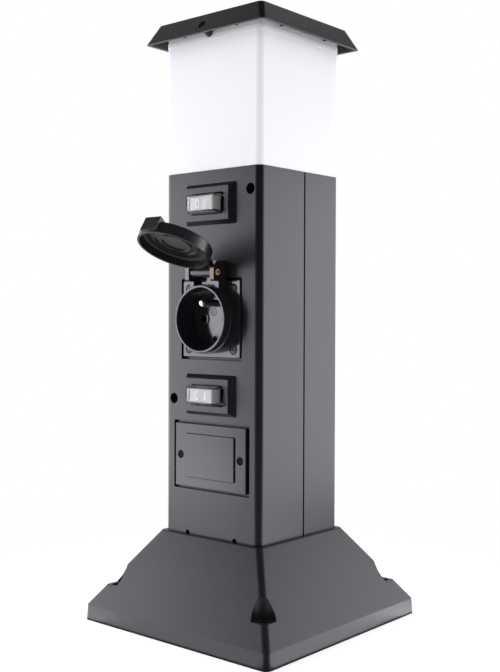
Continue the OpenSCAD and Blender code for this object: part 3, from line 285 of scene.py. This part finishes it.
def raised_bar(name, place, size, turn=0.0):
    """A low bar with rounded edges, as moulded on a face; place is its middle."""
    bpy.ops.mesh.primitive_cube_add(size=1, location=place, rotation=(0, 0, turn))
    bar = bpy.context.object
    bar.name = name
    bar.scale = size
    bpy.ops.object.transform_apply(location=False, rotation=False, scale=True)
    rounding = bar.modifiers.new("rounding", "BEVEL")
    rounded_share = 0.4
    rounding.width = min(size) * rounded_share
    rounding.segments = 3
    bpy.ops.object.modifier_apply(modifier="rounding")
    bpy.ops.object.transform_apply(location=True, rotation=True, scale=False)
    return bar


def raised_ring(name, place, half, line, turn=0.0):
    """A low oval ring, half-round in section, as moulded on a face; half is half its width and height."""
    bpy.ops.mesh.primitive_torus_add(
        major_radius=half[1], minor_radius=line / 2, major_segments=48, minor_segments=12
    )
    ring = bpy.context.object
    ring.name = name
    bpy.ops.object.mode_set(mode="EDIT")
    bpy.ops.mesh.select_all(action="SELECT")
    cut_depth, flattened = 0.1, 0.6
    bpy.ops.mesh.bisect(
        plane_co=(0, 0, -cut_depth * line),
        plane_no=(0, 0, 1),
        use_fill=True,
        clear_inner=True,
        threshold=0.0000001,
    )
    bpy.ops.object.mode_set(mode="OBJECT")
    ring.scale = (half[0] / half[1], 1, flattened)
    ring.location = place
    ring.rotation_euler = (math.pi / 2, 0, turn)
    bpy.ops.object.transform_apply(location=True, rotation=True, scale=True)
    return ring


sign_x, floor_y, sign_z = -0.0015, -0.03615, 0.2020
sign_half, sign_ring_line, sign_bar_line, sign_bar_depth = 0.0023, 0.0004, 0.0003, 0.0002
stem_up, stem_length = 0.0008, 0.0014
rungs = ((0, 0.0026), (-0.0007, 0.0017), (-0.0014, 0.0008))
sign_middle = (sign_x, floor_y, sign_z)
earth_sign = raised_ring("earth_sign", sign_middle, (sign_half, sign_half), sign_ring_line)
strokes = [(stem_up, sign_bar_line, stem_length)]
strokes += [(up, width, sign_bar_line) for up, width in rungs]
for up, width, height in strokes:
    stroke = raised_bar("stroke", (sign_x, floor_y, sign_z + up), (width, sign_bar_depth, height))
    stroke.select_set(True)
    earth_sign.select_set(True)
    bpy.context.view_layer.objects.active = earth_sign
    bpy.ops.object.join()
earth_sign.data.materials.append(sign_black)
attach(earth_sign, "post")

# Socket lid
# A satin black lid with a finger tab and a rubber seal swings on a copper-plated pin.
# The pin is pushed through the housing's ears, and its hollow ends are rolled over.
satin_black = coat(
    "satin_black", (0.012, 0.011, 0.013), rough=0.27, grain=0.0012, relief=0.000012, rough_drift=0.05
)
dress(satin_black, "socket_lid")
dress(black_rubber, "lid_seal")
pin_low, pin_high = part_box("hinge_pin")
pin_y, pin_z = (pin_low[1] + pin_high[1]) / 2, (pin_low[2] + pin_high[2]) / 2
# Painted shade: inside the pin's hollow the copper colour is painted dark brown, standing in for the
# shade there.
hollow_radius, hollow_edge = 0.0008, 0.0001
hollow_shade_brown = (0.05, 0.02, 0.01, 1)


def paint_hollow_shade(place, paint):
    """Paints shade inside the hollow along the pin's middle, a dark brown where little light gets in."""
    across = place.node(
        "ShaderNodeVectorMath",
        {"operation": "MULTIPLY_ADD"},
        {0: place, 1: (0, 1, 1), 2: (0, -pin_y, -pin_z)},
    )
    radius = place.node("ShaderNodeVectorMath", {"operation": "LENGTH"}, {0: across}, out="Value")
    outside = place.node(
        "ShaderNodeMapRange",
        values={"Value": radius, "From Min": hollow_radius, "From Max": hollow_radius + hollow_edge},
    )
    return place.node(
        "ShaderNodeMix", {"data_type": "RGBA"}, {0: outside, 6: hollow_shade_brown, 7: paint}, out=2
    )


# The copper pin carries painted shade in its hollow.
copper = coat(
    "copper",
    (0.95, 0.50, 0.22),
    rough=0.45,
    grain=0.0005,
    relief=0.00001,
    painted_shade=paint_hollow_shade,
    Metallic=0.6,
)
dress(copper, "hinge_pin")

# Switches
# Each rocker is pale plastic in a black nylon body, under a boot of clear soft plastic.
# Its face dips to the middle and carries a raised ring for off and a raised bar for on.
rocker_white = coat(
    "rocker_white", (0.36, 0.35, 0.38), rough=0.42, grain=0.0008, relief=0.00001, drift=0.02
)
dress(rocker_white, "upper_rocker", "lower_rocker")
dress(black_nylon, "upper_switch_body", "lower_switch_body")
dress(bright_brass, "switch_tabs")
dress(plated_steel, "switch_screws")
clear_boot = coat(
    "clear_boot",
    (0.98, 0.98, 0.98),
    rough=0.04,
    grain=0.0010,
    relief=0.000004,
    drift=0.01,
    rough_drift=0.02,
    easing=0.0006,
    **{"Transmission Weight": 1.0, "IOR": 1.30},
)
dress(clear_boot, "upper_boot", "lower_boot")
mark_white = coat(
    "mark_white", (0.95, 0.94, 0.97), rough=0.35, grain=0.0008, relief=0.00001, drift=0.02
)
# Where a rocker's pivot lies, how far out of it the face's middle is, the face's dip and half length
pivot_y, face_out, dip, half_length = -0.03915, 0.0088, 0.0006, 0.0104
tilt, lean = math.radians(7), math.atan(dip / half_length)
mark_along = 0.004
off_half, off_line = (0.0015, 0.0024), 0.0008
on_size = (0.0010, 0.0005, 0.0048)


def middle_height(name):
    """How high the middle of a CAD piece lies."""
    low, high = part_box(name)
    return (low[2] + high[2]) / 2


def on_upper_rocker(along):
    """The place on the tilted face that lies this far from its middle."""
    out = face_out + dip * abs(along) / half_length
    return (
        along * math.cos(tilt) - out * math.sin(tilt),
        pivot_y - along * math.sin(tilt) - out * math.cos(tilt),
        middle_height("upper_rocker"),
    )


upper_marks = [
    raised_ring("upper_off_mark", on_upper_rocker(-mark_along), off_half, off_line, lean - tilt),
    raised_bar("upper_on_mark", on_upper_rocker(mark_along), on_size, -lean - tilt),
]
lower_marks = []
to_lower = Matrix.Translation((0, 0, middle_height("lower_rocker") - middle_height("upper_rocker")))
for mark in upper_marks:
    mark.data.materials.append(mark_white)
    lower_mark = mark.copy()
    lower_mark.data = mark.data.copy()
    lower_mark.data.transform(to_lower)
    lower_mark.name = mark.name.replace("upper", "lower")
    bpy.context.collection.objects.link(lower_mark)
    lower_marks.append(lower_mark)
for rocker, marks in (("upper_rocker", upper_marks), ("lower_rocker", lower_marks)):
    for mark in marks:
        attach(mark, rocker)

# Lamp head
# An opal acrylic box stands on the column's top edge, round a bulb in a pale lampholder.
# The lampholder is screwed to a tray, and four long screws hold the tray and the box down.
dress(shell_grey, "lamp_tray")
dress(black_rubber, "tray_seal")
dress(pale_nylon, "lampholder")
dress(bright_brass, "lamp_contacts")
dress(plated_steel, "holder_screws", "diffuser_screws")
dress(nickel, "bulb_cap")
milk_glass = coat("milk_glass", (0.86, 0.86, 0.84), rough=0.15, grain=0.0020, relief=0.000002)
dress(milk_glass, "bulb_globe")
opal = coat(
    "opal",
    (0.895, 0.88, 0.95),
    rough=0.45,
    grain=0.0020,
    relief=0.000004,
    drift=0.01,
    **{"Subsurface Weight": 0.35, "Subsurface Scale": 0.012, "Subsurface Radius": (1, 1, 1)},
)
dress(opal, "diffuser")

# Roof cap
# A black plastic lid with a leaning fascia is pushed over the opal box.
# A black screw in the front of the fascia and one in the rear hold it.
roof_black = coat("roof_black", (0.0045, 0.004, 0.005), rough=0.38, grain=0.0007, relief=0.00003)
dress(roof_black, "roof_cap")
dress(black_steel, "cap_screws")

# Floor
# A pale floor that keeps the post's shadow and fades to white away from it.
# In reflections it is dark near the post and toward the camera, and pale far out on both sides.
floor_size = 12
bpy.ops.mesh.primitive_plane_add(size=floor_size, location=(0, 0, 0))
floor = bpy.context.object
floor.name = "floor"
floor_finish, start = new_finish("floor_pale")
path = start.node("ShaderNodeLightPath")


def ray_kind(path, kind):
    """It is 1 for rays of this kind, and 0 for all others."""
    return Shade(path.tree, path.socket.node.outputs[kind])


def ramp(value, low, high):
    """Rises smoothly from 0 at low to 1 at high, both in metres."""
    return value.node(
        "ShaderNodeMapRange",
        {"interpolation_type": "SMOOTHSTEP"},
        {"Value": value, "From Min": low, "From Max": high},
    )


mirrored = ray_kind(path, "Is Glossy Ray")
seen = start.maths(
    "MAXIMUM",
    ray_kind(path, "Is Camera Ray"),
    start.maths("MAXIMUM", mirrored, ray_kind(path, "Is Transmission Ray")),
)
white, floor_grey, floor_lift = (1, 1, 1, 1), (0.88, 0.88, 0.88, 1), 0.35
lit = start.node("ShaderNodeBsdfDiffuse", values={"Color": floor_grey})
lift = start.node("ShaderNodeEmission", values={"Color": white, "Strength": seen * floor_lift})
near = start.node("ShaderNodeAddShader", values={0: lit, 1: lift})
place = start.node("ShaderNodeTexCoord", out="Object")
reach = start.node("ShaderNodeVectorMath", {"operation": "LENGTH"}, {0: place}, out="Value")
toward_camera = Vector((seen_from[0], seen_from[1], 0)).normalized()
ahead = start.node(
    "ShaderNodeVectorMath", {"operation": "DOT_PRODUCT"}, {0: place, 1: toward_camera}, out="Value"
)
darkest, palest, dimming = 0.12, 0.97, 0.9
sideways = 1 - ramp(ahead, low=0.06, high=0.24) * dimming
pale = ramp(reach, low=0.15, high=0.45) * sideways * (palest - darkest) + darkest
far = start.node(
    "ShaderNodeEmission", values={"Color": white, "Strength": 1 - mirrored * (1 - pale)}
)
blank = start.maths("MAXIMUM", seen * ramp(reach, low=0.08, high=0.28), mirrored)
ground = start.node("ShaderNodeMixShader", values={0: blank, 1: near, 2: far})
start.node("ShaderNodeOutputMaterial", values={"Surface": ground})
floor.data.materials.append(floor_finish)


# Lamps
# Two tall soft lamps light the post from its front left and its rear right, and stay out of reflections.
# Three soft panels and four cards on the floor are seen in reflections, and don't light matt faces.
def soft_lamp(name, bearing, distance, height, size, radiance, sheen=False):
    """A soft lamp that faces the column. Its bearing is counted from the front, to the right."""
    lamp_data = bpy.data.lights.new(name, "AREA")
    lamp_data.shape = "RECTANGLE"
    lamp_data.size, lamp_data.size_y = size
    lamp_data.energy = radiance * math.pi * size[0] * size[1]
    lamp = bpy.data.objects.new(name, lamp_data)
    angle = math.radians(bearing)
    lamp.location = (distance * math.sin(angle), -distance * math.cos(angle), height)
    column_middle = 0.2
    aim = Vector((0, 0, min(height, column_middle))) - lamp.location
    lamp.rotation_euler = aim.to_track_quat("-Z", "Y").to_euler()
    lamp.visible_camera = False
    lamp.visible_diffuse = not sheen
    lamp.visible_glossy = sheen
    bpy.context.collection.objects.link(lamp)
    return lamp


def floor_card(name, place, size, radiance, turn=0.0):
    """A soft panel that lies face up on the floor, just above it, for the reflections."""
    just_above = 0.001
    card = soft_lamp(name, bearing=0, distance=1, height=0, size=size, radiance=radiance, sheen=True)
    card.location = (*place, just_above)
    card.rotation_euler = (math.pi, 0, turn)


tall, small, wide = (0.9, 1.2), (0.40, 0.38), (1.2, 0.5)
soft_lamp("left_lamp", bearing=-66, distance=1.1, height=0.35, size=tall, radiance=3.3)
soft_lamp("right_lamp", bearing=143, distance=1.1, height=0.35, size=tall, radiance=1.82)
soft_lamp("left_sheen", bearing=-58, distance=0.46, height=0.19, size=small, radiance=3.5, sheen=True)
soft_lamp("right_sheen", bearing=139, distance=0.46, height=0.19, size=small, radiance=2.6, sheen=True)
soft_lamp("back_sheen", bearing=-134.5, distance=0.60, height=0.95, size=wide, radiance=1.6, sheen=True)
floor_card("left_card", (-0.259, -0.313), size=(0.60, 0.17), radiance=1.8, turn=turned)
floor_card("right_card", (0.349, 0.207), size=(0.60, 0.17), radiance=2.4, turn=turned)
floor_card("front_card", (-0.05, -0.122), size=(0.24, 0.087), radiance=2.2)
floor_card("side_card", (0.122, 0.05), size=(0.087, 0.24), radiance=2.9)

# Sky
# It is white to the camera and through the boots, and a plain pale grey to matt faces.
# In reflections it darkens overhead and behind the camera, as a studio does.
sky = bpy.data.worlds.new("sky")
sky.use_nodes = True
sky.node_tree.nodes.clear()
bpy.context.scene.world = sky
start = Shade(sky.node_tree)
path = start.node("ShaderNodeLightPath")
direction = start.node("ShaderNodeTexCoord", out="Generated")
facing = start.node(
    "ShaderNodeVectorMath", {"operation": "DOT_PRODUCT"}, {0: direction, 1: toward_camera}, out="Value"
)
height = start.node("ShaderNodeSeparateXYZ", values={0: direction}, out="Z")
beside_stops, below_stops = ((0.12, 1.0), (0.55, 0.03)), ((0.30, 1.0), (0.64, 0.05))
beside = start.node("ShaderNodeValToRGB", {"stops": beside_stops}, {"Fac": facing})
below = start.node("ShaderNodeValToRGB", {"stops": below_stops}, {"Fac": height})
room = start.node(
    "ShaderNodeMix", {"data_type": "RGBA", "blend_type": "MULTIPLY"}, {0: 1.0, 6: beside, 7: below}, out=2
)
pale_grey = (0.90, 0.90, 0.91, 1)
plain = start.node(
    "ShaderNodeMix",
    {"data_type": "RGBA"},
    {0: ray_kind(path, "Is Glossy Ray"), 6: pale_grey, 7: room},
    out=2,
)
clear = start.maths("MAXIMUM", ray_kind(path, "Is Camera Ray"), ray_kind(path, "Is Transmission Ray"))
shown = start.node("ShaderNodeMix", {"data_type": "RGBA"}, {0: clear, 6: plain, 7: white}, out=2)
glow = start.node("ShaderNodeBackground", values={"Color": shown, "Strength": 1.0})
start.node("ShaderNodeOutputWorld", values={"Surface": glow})
